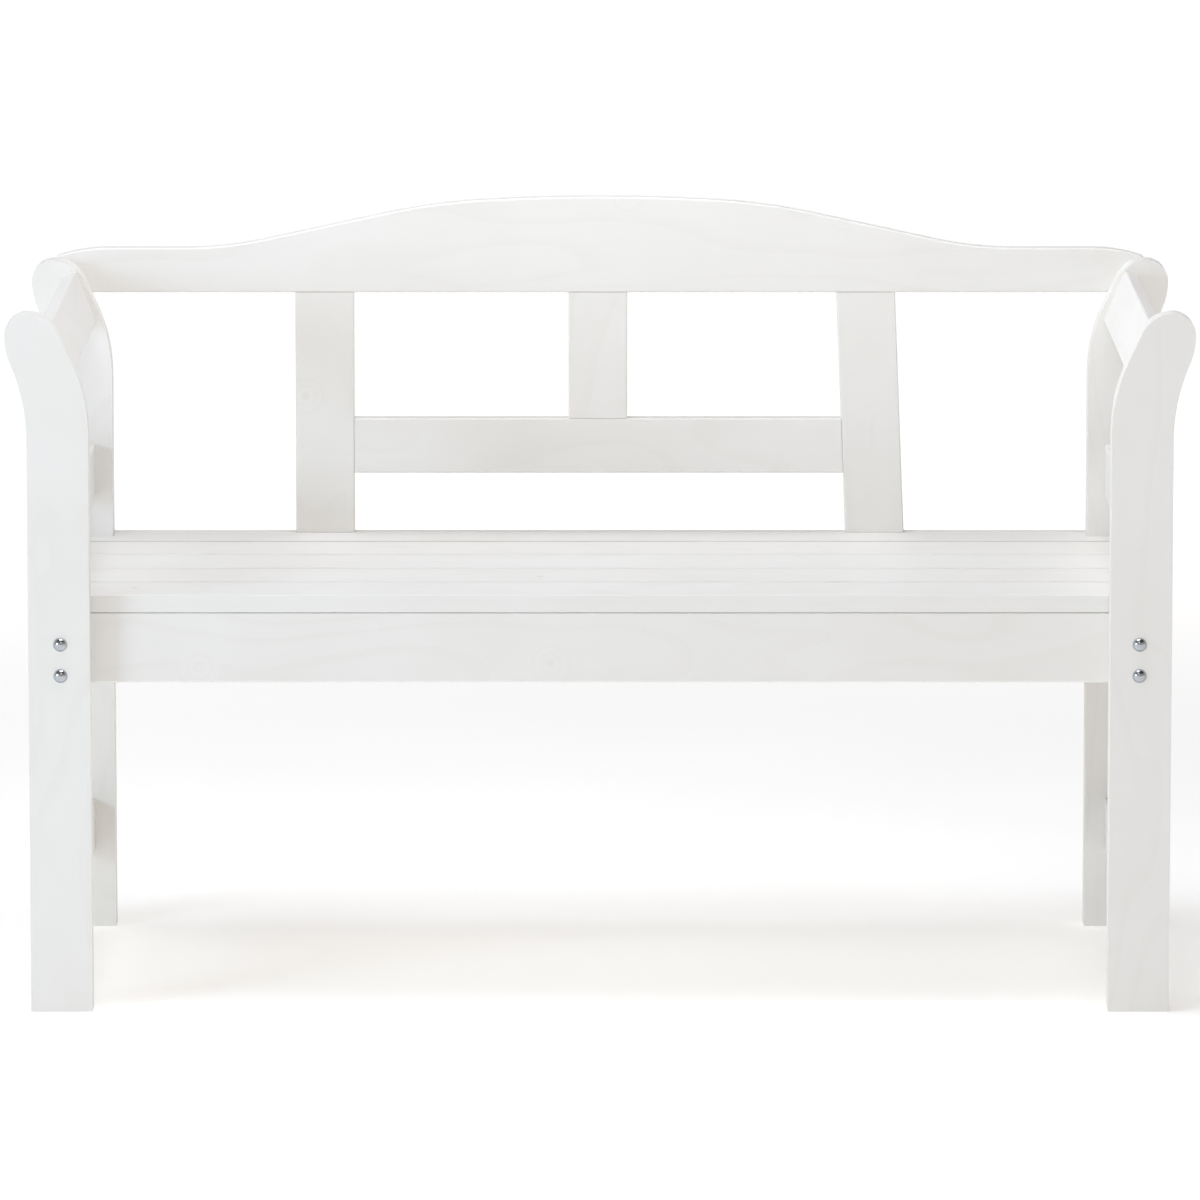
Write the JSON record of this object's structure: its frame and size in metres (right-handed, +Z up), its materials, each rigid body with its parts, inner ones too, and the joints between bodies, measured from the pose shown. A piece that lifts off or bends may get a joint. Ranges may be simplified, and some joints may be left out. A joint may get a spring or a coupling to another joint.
{
  "type": "garden bench",
  "caption": "White painted softwood garden bench with flared side frames, a slatted seat and a camel-back crest rail.",
  "frame": {"origin": "on the floor at the centre of the footprint", "axes": "+X to the right seen from the front, +Y towards the backrest, +Z up"},
  "size_m": [1.3484, 0.602, 0.875],
  "materials": {
    "painted_wood": "satin",
    "zinc_steel": "satin",
    "beech": "raw"
  },
  "bodies": {
    "root": {"front_leg_left": "painted_wood", "front_leg_right": "painted_wood", "rear_post_left": "painted_wood", "rear_post_right": "painted_wood", "armrest_left": "painted_wood", "armrest_right": "painted_wood", "side_rail_left": "painted_wood", "side_rail_right": "painted_wood", "lower_stretcher_left": "painted_wood", "lower_stretcher_right": "painted_wood", "seat_bearer_left": "painted_wood", "seat_bearer_right": "painted_wood", "centre_bearer": "painted_wood", "front_apron": "painted_wood", "bottom_rail": "painted_wood", "seat_slat_1": "painted_wood", "seat_slat_2": "painted_wood", "seat_slat_3": "painted_wood", "seat_slat_4": "painted_wood", "seat_slat_5": "painted_wood", "seat_batten_left": "painted_wood", "seat_batten_right": "painted_wood", "crest_rail": "painted_wood", "middle_rail": "painted_wood", "stile_left": "painted_wood", "stile_right": "painted_wood", "centre_stile": "painted_wood", "front_bolts": "zinc_steel", "rear_bolts": "zinc_steel", "barrel_nuts": "zinc_steel", "crest_screws": "zinc_steel", "slat_screws": "zinc_steel", "armrest_dowels": "beech", "side_rail_dowels": "beech", "stretcher_dowels": "beech", "backrest_dowels": "beech", "bearer_dowels": "beech"}
  },
  "joints": []
}
